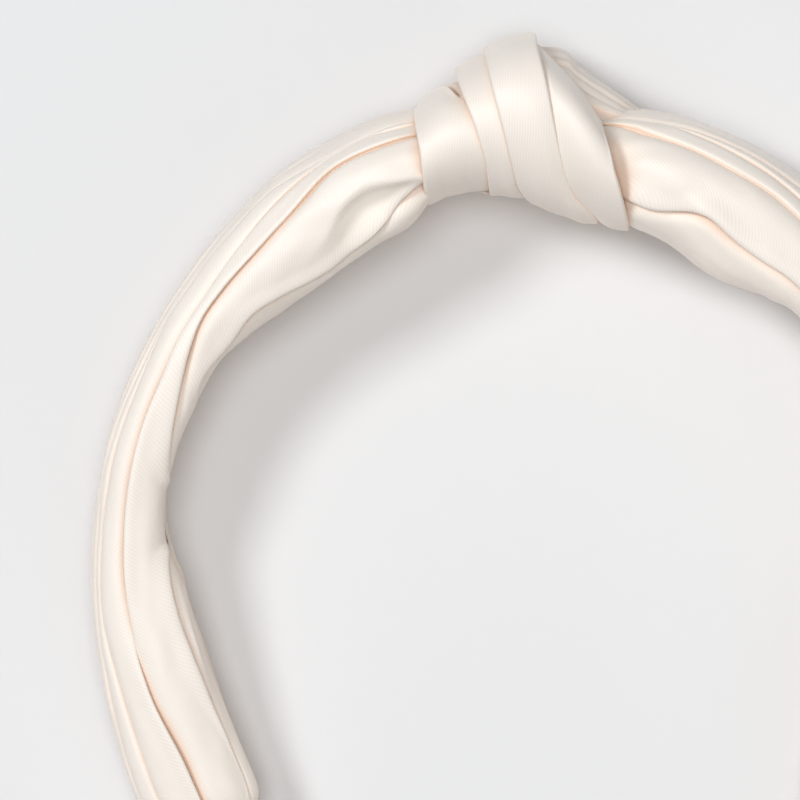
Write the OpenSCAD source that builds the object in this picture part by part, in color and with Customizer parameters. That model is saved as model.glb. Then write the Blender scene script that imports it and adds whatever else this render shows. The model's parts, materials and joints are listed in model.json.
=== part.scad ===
// Knotted satin headband lying on its side: a sprung plastic band in a folded
// fabric tube that is tied in a knot over the crown. Millimetres, +Z up, the
// crown towards +Y and the two tips towards -Y.

/* [Band line] */
// Radius of the band's middle line over the head
head_r = 65; // [60:1:70]
// Angle from the crown to where each arm straightens
turn_deg = 105; // [100:1:110]
// Radius of the straighter lower arms
arm_r = 250; // [200:10:400]
// Length of the middle line from the crown to each tip
side_len = 166; // [156:2:176]

/* [Core] */
// Thickness of the plastic core
core_t = 1.8; // [1.4:0.1:2.2]
// Half width of the core at the crown
core_hw = 11; // [9:0.5:12]
// Half width of the core at the tips
core_tip_hw = 5; // [4:0.5:6]
// Thickness of the foam over the core
foam_t = 3; // [2:0.5:4]
// Half width of the lining ribbon at the crown
lining_hw = 6.5; // [5:0.5:7]
// Thickness of the lining ribbon
lining_t = 0.5; // [0.4:0.1:0.6]

/* [Cover] */
// Half width of the cover beside the knot
cover_hw = 17; // [15:0.5:18]
// Half width of the cover at the tips
cover_tip_hw = 7.5; // [7:0.5:9]
// Wall of the ribbon wrapped round each tip
tip_wall = 0.8; // [0.6:0.1:1.2]
// Length of the ribbon wrapped round each tip
tip_len = 14; // [10:1:18]

/* [Knot] */
// Half width of the knot across the band
knot_hw = 22; // [20:0.5:23]
// Height of the front fold above the middle line
knot_top = 18.3; // [16:0.1:19]
// Clearance between neighbouring folds of cloth
fold_gap = 0.6; // [0.5:0.05:0.8]

/* [Flex] */
// Arc length from the crown to the point where each arm bends
flex_at = 40; // [36:1:46]
// Clearance between the crown and arm stretches at that point
flex_gap = 1.6; // [1.6:0.1:2]

/* [Hidden] */
$fn = 96;

satin = "linen";
ribbon = "antiquewhite";
core_r = -3.9;          // inner face of the core, from the middle line
foam_r = core_r + core_t;
lining_r = -5.9;        // inner face of the lining, from the middle line
seat_r = lining_r + lining_t + 0.1;  // the cover's face behind the lining
play = 0.4;             // room round the core and foam inside the cover
crown_end = flex_at - flex_gap / 2;
arm_start = flex_at + flex_gap / 2;
core_end = side_len - 6;
cover_end = side_len - 2;
strip_step = 3;         // arc length of a strip's flats
ring_step = 5;          // arc length between cover rings
ring_points = 20;       // points round a cover ring
fold_steps = 48;        // rings round a knot fold
turn_len = head_r * turn_deg * PI / 180;

// Depth of the cover inside and outside the middle line, by arc length
cover_in = [[0, 5.4], [20.5, 5.4], [26, 9], [40, 9.8], [54, 9], [66, 6.2], [98, 6], [110, 8.5],
            [122, 9.5], [140, 8], [152, 6], [166, 5.4]];
cover_out = [[0, 6.5], [20.5, 6.5], [26, 8.6], [40, 8], [54, 6.4], [72, 5.8], [98, 6.4], [110, 7.6],
             [122, 8.6], [140, 8], [152, 5.5], [166, 3.5]];

// How much the cover is drawn in sideways under the knot
cover_waist = [[0, 3], [20.5, 3], [26, 0]];

// Edges of the knot's folds, from left to right: place at mid depth, and slant
fold_edge = [-17.9, -8.9, -1.8, 7.9, 15.9];
fold_slant = [-1, 1.5, 4.1, 6.7, 4.4];
// Reach of each fold outside the middle line, at its left and right edge
fold_out = [[9.2, 12], [14, 16.2], [knot_top - 1.4, knot_top + 0.5], [16.2, 7.2]];
// Reach of each fold inside and across the middle line
fold_in = [7, 8.3, 10.9, 12.2];
fold_hw = [knot_hw - 3, knot_hw - 1, knot_hw, knot_hw - 1.5];

// The back strand, by arc length: its start and end, foot, rise and half width
strand_s = [3.2, 17.6];
strand_base = [[3.2, 15.2], [11.8, 7.5], [17.6, 7.2]];
strand_rise = [[3.2, 1.4], [6.5, 1.6], [12.6, 3.2], [17.6, 0.6]];
strand_hw = [[3.2, 5], [8, 8], [13, 9], [17.6, 6]];

// The band rests on the knot and both tip wraps, so its plane leans
mouth = side_len - tip_len;
tip_y = place(cover_end, 0, 0).y;
tip_hw = taper(cover_end, cover_hw, cover_tip_hw) * (1 + tip_wall / cover_tip_hw);
lean = atan((knot_hw - tip_hw) / (head_r - tip_y));
rest_z = knot_hw * cos(lean) - head_r * sin(lean);
rest_y = (head_r + knot_top + place(side_len, 0, 0).y) / 2 * cos(lean) - 0.7;

// ---- the band's line ----
function heading(s) =
    s < turn_len ? s / head_r * 180 / PI : turn_deg + (s - turn_len) / arm_r * 180 / PI;
function hub(s) = s < turn_len ? [0, 0] : (head_r - arm_r) * [sin(turn_deg), cos(turn_deg)];
function bend_r(s) = s < turn_len ? head_r : arm_r;
// The point at arc length s to the right of the crown, r outside the middle line, z across
function place(s, r, z) =
    let (a = heading(s), c = hub(s))
    [c.x + (bend_r(s) + r) * sin(a), c.y + (bend_r(s) + r) * cos(a), z];

function flat(p) = [p.x, p.y];
function power(x, p) = sign(x) * pow(abs(x), p);
function taper(s, a, b) = a + (b - a) * max(0, s - 20) / (side_len - 20);

// ---- closed solids from rings of points ----
function join(a, b, m) =
    [for (j = [0:m - 1]) let (k = (j + 1) % m) each [[a + j, b + k, b + j], [a + j, a + k, b + k]]];

// A solid that runs through its rings and is closed at both ends
module chain(rings) {
    m = len(rings[0]);
    n = len(rings);
    polyhedron(
        points = [for (ring = rings) each ring],
        faces = concat(
            [for (i = [0:n - 2]) each join(i * m, (i + 1) * m, m)],
            [[for (j = [m - 1:-1:0]) j], [for (j = [0:m - 1]) (n - 1) * m + j]]
        )
    );
}

// A solid whose last ring joins its first, such as a sleeve or a loop of cloth
module loop(rings) {
    m = len(rings[0]);
    n = len(rings);
    polyhedron(
        points = [for (ring = rings) each ring],
        faces = [for (i = [0:n - 1]) each join(i * m, (i + 1) % n * m, m)]
    );
}

function reversed(list) = [for (i = [len(list) - 1:-1:0]) list[i]];

// ---- flat strips: the core, foam and lining ----
// A strip of thickness t that stands on its edge, from arc length a to b
module strip(a, b, r, t, hw) {
    count = ceil((b - a) / strip_step);
    stations = [for (i = [0:count]) a + (b - a) * i / count];
    inside = [for (s = stations) flat(place(s, r, 0))];
    outside = [for (s = stations) flat(place(s, r + t, 0))];
    translate([0, 0, -hw])
        linear_extrude(2 * hw)
            polygon(concat(inside, reversed(outside)));
}

module strip_crown(r, t, hw) {
    strip(-crown_end, crown_end, r, t, hw);
}

// One arm of a strip, narrowing to its tip, whose corners are cut
module strip_arm(r, t, hw, end_hw, end) {
    top = place(arm_start, 0, 0).y + 8;
    tip = place(end, 0, 0).y;
    cut = end_hw / 2;
    side = [[top, hw], [tip + cut, end_hw], [tip, end_hw - cut]];
    intersection() {
        strip(arm_start, end + 2, r, t, hw + 1);
        rotate([90, 0, 90])
            linear_extrude(head_r * 1.5)
                polygon(concat(side, reversed([for (p = side) [p[0], -p[1]]])));
    }
}

module core_crown() color("white") strip_crown(core_r, core_t, core_hw);
module core_arm() color("white") strip_arm(core_r, core_t, core_hw, core_tip_hw, core_end);
module padding_crown() color("ivory") strip_crown(foam_r, foam_t, core_hw);
module padding_arm() color("ivory") strip_arm(foam_r, foam_t, core_hw, core_tip_hw, core_end);
module lining_crown() color(ribbon) strip_crown(lining_r, lining_t, lining_hw);
module lining_arm()
    color(ribbon) strip_arm(lining_r, lining_t, lining_hw, core_tip_hw - 2, mouth - 4);

// ---- the cover: a soft sleeve, hollow for the core and foam ----
// Inwards the cover swells on both sides of the lining and lies flat behind it
function cover_ring(s) =
    let (hw = taper(abs(s), cover_hw, cover_tip_hw) - lookup(abs(s), cover_waist))
    let (out = lookup(abs(s), cover_out), deep = lookup(abs(s), cover_in))
    [for (i = [0:ring_points - 1])
        let (t = 360 * i / ring_points, v = abs(power(sin(t), 0.8)))
        let (swell = v < 0.5 ? 0 : pow(sin(180 * (v - 0.5) / 0.5), 2))
        let (inside = seat_r * pow(abs(cos(t)), 0.8) - (deep + seat_r) * swell)
        place(s, cos(t) > 0 ? out * pow(cos(t), 0.8) : inside, hw * power(sin(t), 0.8))];

// The hollow, as a rounded box round the core and foam
function hollow_ring(s) =
    let (hw = taper(abs(s), core_hw, core_tip_hw) * 1.08 + play, half = (core_t + foam_t) / 2)
    [for (i = [0:ring_points - 1])
        let (t = 360 * i / ring_points)
        place(s, core_r + half + (half * 1.08 + play) * power(cos(t), 0.3), hw * power(sin(t), 0.3))];

module sleeve(from_s, to_s) {
    count = ceil((to_s - from_s) / ring_step);
    stations = [for (i = [0:count]) from_s + (to_s - from_s) * i / count];
    loop(concat([for (s = stations) hollow_ring(s)], reversed([for (s = stations) cover_ring(s)])));
}

module cover_crown() color(satin) sleeve(-crown_end, crown_end);
module cover_arm() color(satin) sleeve(arm_start, cover_end);

// ---- the ribbon wrapped over each tip, a cup that holds the cover's end ----
function grown(s, at, wall, close) =
    let (c = place(at, 0, 0), ring = cover_ring(s), k = 1 + wall / 6)
    [for (p = ring)
        let (q = p + [0, 0, p.z / cover_tip_hw * wall], d = [p.x, p.y] - [place(s, 0, 0).x, place(s, 0, 0).y])
        [c.x + d.x * k * close, c.y + d.y * k * close, q.z * close]];

module tip_wrap() {
    stations = [for (i = [0:4]) mouth + (cover_end - mouth) * i / 4];
    inner = [for (s = stations) grown(s, s, 0.15, 1)];
    last = cover_end + 0.2;
    color(ribbon)
        chain(concat(
            [grown(cover_end, side_len, tip_wall, 0.7), grown(cover_end, last + 0.9, tip_wall, 0.93)],
            reversed([for (s = stations) grown(s, s, tip_wall, 1)]),
            inner,
            [grown(cover_end, last, 0.15, 1)]
        ));
}

// ---- the knot's folds: slanted loops of cloth round the cover ----
function oval(t, out, deep, hw, p) =
    [(cos(t) > 0 ? out : deep) * power(cos(t), p), hw * power(sin(t), p)];

// The point on fold i at angle t round the band: across from 0 to 1, depth from 0 inside to 1 outside
function fold_point(i, t, across, depth) =
    let (a = fold_edge[i] - fold_slant[i] * cos(t) + fold_gap / 2)
    let (b = fold_edge[i + 1] - fold_slant[i + 1] * cos(t) - fold_gap / 2)
    let (inner = oval(t, 7, -lining_r + 0.3, cover_hw - 2.5, 0.75))
    let (out = fold_out[i][0] + (fold_out[i][1] - fold_out[i][0]) * across)
    let (outer = oval(t, out, fold_in[i], fold_hw[i], 0.85))
    let (p = inner + (outer - inner) * depth)
    place(a + (b - a) * across, p.x, p.y);

// The section of a fold: across and depth, with rounded outer corners
fold_section = [[0, 0], [0, 0.7], [0.08, 0.9], [0.28, 0.99], [0.72, 0.98], [0.93, 0.86], [1, 0.6], [1, 0]];

module fold(i) {
    color(satin)
        loop([for (k = [0:fold_steps - 1])
            [for (p = fold_section) fold_point(i, 360 * k / fold_steps, p[0], p[1])]]);
}

// The strand that leaves the knot over the crown and runs down to the right arm
module knot_back_strand() {
    color(satin)
        chain([for (s = [strand_s[0]:1.8:strand_s[1] + 0.01])
            let (base = lookup(s, strand_base), rise = lookup(s, strand_rise))
            [for (t = [330:-30:0])
                place(s, base + rise * max(0, cos(t)), lookup(s, strand_hw) * sin(t) - 5 - s / 5)]]);
}

// Hand stitches that hold neighbouring folds together, on the head side
module knot_tack_stitches() {
    stitch_r = 0.3;
    color("white")
        for (i = [0:2]) {
            s = fold_edge[i + 1] + fold_slant[i + 1];
            for (z = [-3, 3]) {
                from_p = place(s - 2.2, -fold_in[i] - stitch_r, z);
                to_p = place(s + 2.2, -fold_in[i + 1] - stitch_r, z);
                d = to_p - from_p;
                translate(from_p) rotate([0, 90, atan2(d.y, d.x)])
                    cylinder(r = stitch_r, h = norm(d), $fn = 24);
            }
        }
}

// ---- placing ----
module laid() {
    translate([0, -rest_y, rest_z]) rotate([lean, 0, 0]) children();
}
module left() {
    mirror([1, 0, 0]) children();
}

laid() core_crown();
laid() left() core_arm();  // core_left
laid() core_arm();  // core_right
laid() padding_crown();
laid() left() padding_arm();  // padding_left
laid() padding_arm();  // padding_right
laid() lining_crown();
laid() left() lining_arm();  // lining_left
laid() lining_arm();  // lining_right
laid() cover_crown();
laid() left() cover_arm();  // cover_left
laid() cover_arm();  // cover_right
laid() left() tip_wrap();  // tip_wrap_left
laid() tip_wrap();  // tip_wrap_right
laid() fold(0);  // knot_collar_fold
laid() fold(1);  // knot_left_fold
laid() fold(2);  // knot_front_fold
laid() fold(3);  // knot_right_fold
laid() knot_back_strand();
laid() knot_tack_stitches();
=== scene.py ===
import json
import math

import bpy
import numpy as np
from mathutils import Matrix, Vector


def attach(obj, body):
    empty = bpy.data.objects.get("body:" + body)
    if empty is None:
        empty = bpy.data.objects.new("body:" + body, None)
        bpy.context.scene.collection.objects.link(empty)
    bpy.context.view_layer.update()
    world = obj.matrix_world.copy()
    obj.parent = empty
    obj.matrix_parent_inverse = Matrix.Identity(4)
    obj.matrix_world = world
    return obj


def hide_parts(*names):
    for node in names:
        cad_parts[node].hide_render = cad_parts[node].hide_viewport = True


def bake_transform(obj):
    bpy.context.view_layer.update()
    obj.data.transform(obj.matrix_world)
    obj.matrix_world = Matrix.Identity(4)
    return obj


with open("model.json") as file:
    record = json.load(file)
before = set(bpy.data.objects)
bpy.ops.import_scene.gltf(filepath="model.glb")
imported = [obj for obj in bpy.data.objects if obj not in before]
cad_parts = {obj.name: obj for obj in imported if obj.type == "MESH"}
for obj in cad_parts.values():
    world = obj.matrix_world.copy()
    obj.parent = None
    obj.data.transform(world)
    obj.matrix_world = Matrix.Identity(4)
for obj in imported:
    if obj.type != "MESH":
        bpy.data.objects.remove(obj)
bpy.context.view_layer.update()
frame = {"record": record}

record = frame["record"]

# ---------------------------------------------------------------- band line
# The band's middle line, in millimetres: s along it to the right of the crown,
# r outwards from it and z across the band. The lean comes from the hinge axis.
HEAD_R = 65.0  # radius of the bend over the head
ARM_R = 250.0  # radius of the flatter arms
TURN = math.radians(105)  # how far the bend over the head goes to each side
TURN_LEN = HEAD_R * TURN
FLEX_S, FLEX_R = 40.0, 8.5  # where the arm's hinge stands
BEND_FROM, BEND_TO = 14, 70  # the stretch over which an arm flexes

hinge = next(j for j in record["behaviour"]["joints"] if j["name"] == "right_arm_flex")
LEAN = math.atan2(-hinge["axis"][1], hinge["axis"][2])
COS, SIN = math.cos(LEAN), math.sin(LEAN)
hinge_y = (HEAD_R + FLEX_R) * math.cos(FLEX_S / HEAD_R)
REST_Y = hinge_y * COS - hinge["pos_m"][1] * 1000
REST_Z = hinge["pos_m"][2] * 1000 - hinge_y * SIN


def place(s, r, z):
    """Row-frame points in metres for band coordinates in millimetres."""
    s, r, z = np.broadcast_arrays(
        np.asarray(s, float), np.asarray(r, float), np.asarray(z, float)
    )
    far = np.abs(s)
    near = far < TURN_LEN
    angle = np.where(near, far / HEAD_R, TURN + (far - TURN_LEN) / ARM_R)
    hub = np.where(near, 0.0, HEAD_R - ARM_R)
    bend = np.where(near, HEAD_R, ARM_R)
    x = np.where(s < 0, -1, 1) * (hub * math.sin(TURN) + (bend + r) * np.sin(angle))
    y = hub * math.cos(TURN) + (bend + r) * np.cos(angle)
    return np.stack([x, y * COS - z * SIN - REST_Y, y * SIN + z * COS + REST_Z], -1) / 1000


def at(s):
    """The place of the middle line at s."""
    return Vector(place(s, 0, 0).tolist())


# ---------------------------------------------------------------- mesh tools
def hann(width):
    """Weights of a smooth average over 2 * width - 1 points."""
    weights = np.hanning(2 * width + 1)[1:-1]
    return weights / weights.sum()


def smooth(values, width):
    """A row of values, or rows of them, averaged along the first axis."""
    n = max(1, int(width))
    v = np.asarray(values, float)
    pad = np.concatenate([np.repeat(v[:1], n, 0), v, np.repeat(v[-1:], n, 0)])
    if v.ndim == 1:
        return np.convolve(pad, hann(n), "same")[n:-n]
    return np.stack([np.convolve(c, hann(n), "same") for c in pad.T], -1)[n:-n]


def smooth_ring(values, width):
    """Values averaged along the first axis, which closes on itself."""
    return sum(w * np.roll(values, i - width + 1, 0) for i, w in enumerate(hann(width)))


def curve(points, x, width=0):
    """A smooth line through given (x, value) points."""
    xs, ys = zip(*points)
    fine = np.linspace(xs[0], xs[-1], 600)
    step = (xs[-1] - xs[0]) / 599
    line = smooth(np.interp(fine, xs, ys), max(2, width / step))
    return np.interp(x, fine, line)


def at_stations(value, s):
    """A list of (s, value) points as a soft curve, or one value for all of s."""
    return curve(value, s, 5) if isinstance(value, list) else np.full(len(s), float(value))


def lengths(rings):
    """Running length round each closed ring of points, in the points' unit."""
    step = np.linalg.norm(np.diff(rings, axis=1, append=rings[:, :1]), axis=2)
    return np.concatenate([np.zeros((len(rings), 1)), np.cumsum(step, 1)], 1)


def tube_uv(grid, s):
    """UVs in metres for a tube: round each ring, and along the band."""
    round_it = lengths(grid)
    return np.stack([round_it, np.repeat(s[:, None] / 1000, round_it.shape[1], 1)], -1)


def add_object(name, mesh):
    mesh.polygons.foreach_set("use_smooth", [True] * len(mesh.polygons))
    mesh.update()
    obj = bpy.data.objects.new(name, mesh)
    bpy.context.scene.collection.objects.link(obj)
    return obj


def skin(name, grid, uv, loop=False, crease=None):
    """A tube over rings of points, closed by end caps or, as a loop, on itself.
    uv has one more column than grid, and in a loop one more row."""
    n, m = grid.shape[:2]
    i, j = np.meshgrid(np.arange(n if loop else n - 1), np.arange(m), indexing="ij")
    i2, j2 = (i + 1) % n, (j + 1) % m
    quads = np.stack([i * m + j, i * m + j2, i2 * m + j2, i2 * m + j], -1).reshape(-1, 4)
    corner_uv = np.stack([uv[i, j], uv[i, j + 1], uv[i + 1, j + 1], uv[i + 1, j]], 2)
    corner_uv = corner_uv.reshape(-1, 4, 2)
    p = grid.reshape(-1, 3)
    a, b, c, d = (p[quads[:, k]] for k in range(4))
    volume = (np.cross(b - a, c - a) * a).sum() + (np.cross(c - a, d - a) * a).sum()
    if volume < 0:
        quads = quads[:, ::-1]
        corner_uv = corner_uv[:, ::-1]
    faces = quads.tolist()
    if not loop:
        first, last = list(range(m)), list(range((n - 1) * m, n * m))
        faces += [first[::-1], last] if volume > 0 else [first, last[::-1]]
    mesh = bpy.data.meshes.new(name)
    mesh.from_pydata(p.tolist(), [], faces)
    full_uv = np.zeros((len(mesh.loops), 2))
    full_uv[: corner_uv.size // 2] = corner_uv.reshape(-1, 2)
    mesh.uv_layers.new(name="UVMap").data.foreach_set("uv", full_uv.ravel())
    # the crease attribute stores painted shade for creases and turned-under edges
    if crease is not None:
        painted_crease_shade = mesh.attributes.new("crease", "FLOAT", "POINT")
        painted_crease_shade.data.foreach_set("value", np.clip(crease, 0, 1).ravel().astype(np.float32))
    return add_object(name, mesh)


def waves(s, q, seed, count, along, across):
    """Soft seeded ripples, about 1 high, with wavelengths in millimetres."""
    r = np.random.default_rng(seed)
    total = np.zeros(np.broadcast(s, q).shape)
    for _ in range(count):
        a = 2 * math.pi / r.uniform(*along) * r.choice([-1, 1])
        b = 2 * math.pi / r.uniform(*across)
        total = total + np.sin(a * s + b * q + r.uniform(0, 6.28)) * r.uniform(0.5, 1)
    return total / math.sqrt(count)


# ---------------------------------------------------------------- materials
def linear(r, g, b):
    """An sRGB colour, 0 to 255, as the linear colour that shaders use."""
    return tuple(
        c / 12.92 if c <= 0.04045 else ((c + 0.055) / 1.055) ** 2.4
        for c in (r / 255, g / 255, b / 255)
    ) + (1.0,)


def dimmed(tone, share):
    return tuple(c * share for c in tone[:3]) + (1,)


class Nodes:
    """A material with a principled shader, and short ways to add its nodes."""

    def __init__(self, name):
        self.mat = bpy.data.materials.new(name)
        self.mat.use_nodes = True
        self.tree = self.mat.node_tree
        self.tree.nodes.clear()
        self.out = self.add("ShaderNodeOutputMaterial")
        self.shader = self.add("ShaderNodeBsdfPrincipled")
        self.link(self.shader.outputs[0], self.out.inputs["Surface"])

    def add(self, kind, **values):
        node = self.tree.nodes.new(kind)
        for key, value in values.items():
            setattr(node, key, value)
        return node

    def link(self, a, b):
        self.tree.links.new(a, b)

    def feed(self, sockets, values):
        """Each socket gets its value, or a link where the value is an output."""
        for socket, value in zip(sockets, values):
            if isinstance(value, (int, float, tuple)):
                socket.default_value = value
            else:
                self.link(value, socket)

    def look(self, **values):
        """Plain values for the shader's inputs, with _ for a space."""
        for key, value in values.items():
            self.shader.inputs[key.replace("_", " ")].default_value = value

    def uv(self):
        return self.add("ShaderNodeUVMap", uv_map="UVMap").outputs[0]

    def math(self, operation, a, b=0.0, c=0.5):
        node = self.add("ShaderNodeMath", operation=operation)
        self.feed(node.inputs, (a, b, c))
        return node.outputs[0]

    def mix(self, factor, a, b):
        node = self.add("ShaderNodeMix", data_type="RGBA")
        self.feed((node.inputs[0], node.inputs[6], node.inputs[7]), (factor, a, b))
        return node.outputs[2]

    def ramp(self, factor, low, high):
        node = self.add("ShaderNodeMapRange")
        self.feed(node.inputs, (factor, low, high))
        return node.outputs[0]

    def noise(self, vector, scale, detail):
        node = self.add("ShaderNodeTexNoise")
        self.link(vector, node.inputs["Vector"])
        node.inputs["Scale"].default_value = scale
        node.inputs["Detail"].default_value = detail
        return node.outputs[0]

    def weave(self, degrees, pitch_mm):
        """Fine parallel ridges over the cloth's own UVs, from 0 to 1."""
        turn = self.add("ShaderNodeMapping")
        self.link(self.uv(), turn.inputs[0])
        turn.inputs["Rotation"].default_value = (0, 0, math.radians(degrees))
        turn.inputs["Scale"].default_value = (1000 / pitch_mm,) * 3
        split = self.add("ShaderNodeSeparateXYZ")
        self.link(turn.outputs[0], split.inputs[0])
        angle = self.math("MULTIPLY", split.outputs[0], 2 * math.pi)
        return self.math("MULTIPLY_ADD", self.math("SINE", angle), 0.5)

    def bump(self, height, distance, strength):
        node = self.add("ShaderNodeBump")
        node.inputs["Strength"].default_value = strength
        node.inputs["Distance"].default_value = distance
        self.link(height, node.inputs["Height"])
        self.link(node.outputs[0], self.shader.inputs["Normal"])


CREAM = linear(252, 243, 233)
# painted shade colours: warm dark along creases, warm pale where folds are shut in
CREAM_CREASE_SHADE = linear(192, 150, 104)
CREAM_SHADE = linear(241, 216, 196)
TWILL_PITCH = 0.42  # millimetres


def satin(name, twill_angle):
    """Cream satin: fine diagonal twill, soft sheen, painted warm shade deep in its creases and where it is
    shut in.
    """
    n = Nodes(name)
    uv = n.uv()
    twill = n.weave(twill_angle, TWILL_PITCH)
    cloud = n.noise(uv, 60, 3)
    fine = n.noise(uv, 1500, 2)
    # the crease attribute holds painted shade for creases, pinches and turned-under edges
    crease = n.add("ShaderNodeAttribute", attribute_name="crease").outputs["Fac"]
    pale = n.mix(n.ramp(cloud, 0.3, 0.75), CREAM, dimmed(CREAM, 0.965))
    threads = n.mix(n.math("MULTIPLY", twill, 0.13), pale, dimmed(CREAM, 0.6))
    # painted shade: where the AO node finds a fold shut in by its neighbours, the colour is mixed towards a
    # paler warm shade, and the crease attribute paints a darker warm shade along the creases
    hidden = n.add("ShaderNodeAmbientOcclusion", samples=8)
    hidden.inputs["Distance"].default_value = 0.06
    shut_in = n.ramp(hidden.outputs["AO"], 0.92, 0.28)
    colour = n.mix(crease, n.mix(shut_in, threads, CREAM_SHADE), CREAM_CREASE_SHADE)
    n.link(colour, n.shader.inputs["Base Color"])
    n.link(n.math("MULTIPLY_ADD", fine, 0.16, 0.44), n.shader.inputs["Roughness"])
    n.bump(n.math("ADD", twill, n.math("MULTIPLY", fine, 0.6)), 0.00003, 0.4)
    n.look(Specular_IOR_Level=0.65)
    n.look(Subsurface_Weight=0.1, Subsurface_Radius=(1.0, 0.8, 0.65), Subsurface_Scale=0.001)
    n.look(Sheen_Weight=0.3, Sheen_Roughness=0.4, Sheen_Tint=(1.0, 0.96, 0.92, 1.0))
    return n.mat


def ribbon(name):
    """Cream grosgrain: ribs across the ribbon, with painted shade between them."""
    n = Nodes(name)
    uv = n.uv()
    ribs = n.weave(90, 0.7)
    threads = n.weave(0, 0.3)
    tone = linear(246, 236, 224)
    pale = n.mix(n.noise(uv, 90, 2), tone, dimmed(tone, 0.93))
    # painted shade in the grooves between the ribs
    shade_between_ribs = n.math("MULTIPLY", n.math("SUBTRACT", 1.0, ribs), 0.25)
    n.link(n.mix(shade_between_ribs, pale, linear(222, 203, 186)), n.shader.inputs["Base Color"])
    n.bump(n.math("ADD", ribs, n.math("MULTIPLY", threads, 0.25)), 0.00012, 0.9)
    n.look(Roughness=0.62, Sheen_Weight=0.2)
    return n.mat


def plain(name, tone, rough, grain, depth, scale):
    """Moulded plastic, foam or thread, with its own grain."""
    n = Nodes(name)
    fine = n.noise(n.add("ShaderNodeTexCoord").outputs["Object"], scale, 4)
    colour = n.mix(n.ramp(fine, 0.3, 0.7), tone, dimmed(tone, grain))
    n.link(colour, n.shader.inputs["Base Color"])
    n.bump(fine, depth, 0.7)
    n.look(Roughness=rough)
    return n.mat


SATIN = satin("cream_satin", 38)
KNOT_SATIN = satin("cream_satin_knot", -14)
RIBBON = ribbon("cream_grosgrain")
PLASTIC = plain("core_plastic", linear(232, 230, 224), 0.42, 0.93, 0.00003, 900)
FOAM = plain("padding_foam", linear(238, 230, 212), 0.9, 0.78, 0.0003, 1400)
THREAD = plain("stitch_thread", linear(238, 224, 208), 0.7, 0.85, 0.00006, 5000)


def finish_piece(obj, material, replaces, body=None, blend=None):
    """Gives a piece its material, hides the parts it replaces, and hangs it on the body it rides on, or,
    given blend, only bakes its place into its points.
    """
    obj.data.materials.append(material)
    if blend:
        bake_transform(obj)
    else:
        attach(obj, body)
    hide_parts(*replaces)


# ---------------------------------------------------------------- sleeve section
PART = 24  # points of the outline for each of its corners
TOP_MID = 4 * PART  # index where the outline is highest
TOP_END = 7 * PART  # index where it is deepest on the head side
SEAT = 5.2  # depth of the flat strip that the lining lies on
UNDER_SLIM = 0.88  # the underside's share of the reach inwards, to stay out of sight


def section_line(out, deep, hw, shoulder):
    """The cover's outline at each station, as (r, z) from the outer face over the
    top to the lining and back below: a smooth closed curve."""
    seat = np.minimum(SEAT, deep - 0.2)
    slant = np.minimum(shoulder, 0)
    half = [
        (out, 0 * hw),
        (0.97 * out, 0.36 * hw),
        (0.8 * out, 0.74 * hw),
        (0.36 * out, 0.96 * hw),
        (-0.1 * deep, hw),
        (-0.52 * deep, (0.93 + 0.05 * shoulder) * hw),
        (-0.88 * deep, (0.76 + 0.1 * shoulder) * hw),
        (-deep, (0.56 + 0.2 * slant) * hw),
        (-0.5 * (deep + seat) - 0.3, (0.43 + 0.2 * slant) * hw),
        (-seat, (0.34 + 0.16 * slant) * hw),
        (-seat, 0 * hw),
    ]
    top = np.stack([np.stack([np.broadcast_to(r, out.shape), z], -1) for r, z in half], 1)
    slim = np.ones(9)
    slim[1:5] = UNDER_SLIM
    below = top[:, 9:0:-1] * np.stack([slim, -np.ones(9)], -1)
    ring = np.concatenate([top, below], 1)
    # a Catmull-Rom curve through the corners
    a, b, c, d = (np.roll(ring, -offset, 1)[:, :, None] for offset in (-1, 0, 1, 2))
    f = np.linspace(0, 1, PART, endpoint=False)[None, None, :, None]
    line = 0.5 * (
        2 * b
        + (c - a) * f
        + (2 * a - 5 * b + 4 * c - d) * f**2
        + (3 * b - a - 3 * c + d) * f**3
    )
    return line.reshape(len(out), -1, 2)


def round_at(where, course, ring, run):
    """Length round one section to a fold line, negative below the middle."""
    if where == "outer":
        z = ring[: TOP_MID + 1, 1]
        return math.copysign(np.interp(abs(course) * z[-1], z, run[: TOP_MID + 1]), course)
    q = np.interp(course, ring[: TOP_END + 1, 0][::-1], run[: TOP_END + 1][::-1])
    return q if where == "top" else -q


# ---------------------------------------------------------------- creases
class Crease:
    """A lengthwise fold line. where is outer, top or bottom; course is how far
    outwards it runs, or on the outer face the share of the half width; lip is how
    high one side stands, fold how far it hangs over, groove how the line sinks."""

    def __init__(self, where, course, lip, fold, groove, width):
        self.where, self.course = where, course
        self.lip, self.fold, self.groove, self.width = lip, fold, groove, width


class Arm:
    """One arm: its outlines outwards and inwards, its creases and its hollows,
    each as a course, a depth and how far down the hollow reaches."""

    def __init__(self, tag, side, out, deep, shoulder, creases, dents, seed):
        self.tag, self.side, self.out, self.deep = tag, side, out, deep
        self.shoulder, self.creases, self.dents, self.seed = shoulder, creases, dents, seed
        self.flex = (f"{tag}_arm", at(side * BEND_FROM), at(side * BEND_TO))


# Half the cover's width across the band, along an arm
HALF_WIDTH = [
    (6, 13.5), (14, 14.2), (18, 16.2), (24, 16.8), (60, 14.6),
    (110, 11.6), (138, 10.1), (147, 9.4), (152.5, 7.4), (166, 6.2),
]
# Points across each panel between two creases, round the section
PANEL_POINTS = [26, 24, 26, 24, 28, 28, 28, 26, 26, 30, 34, 30]

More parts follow.
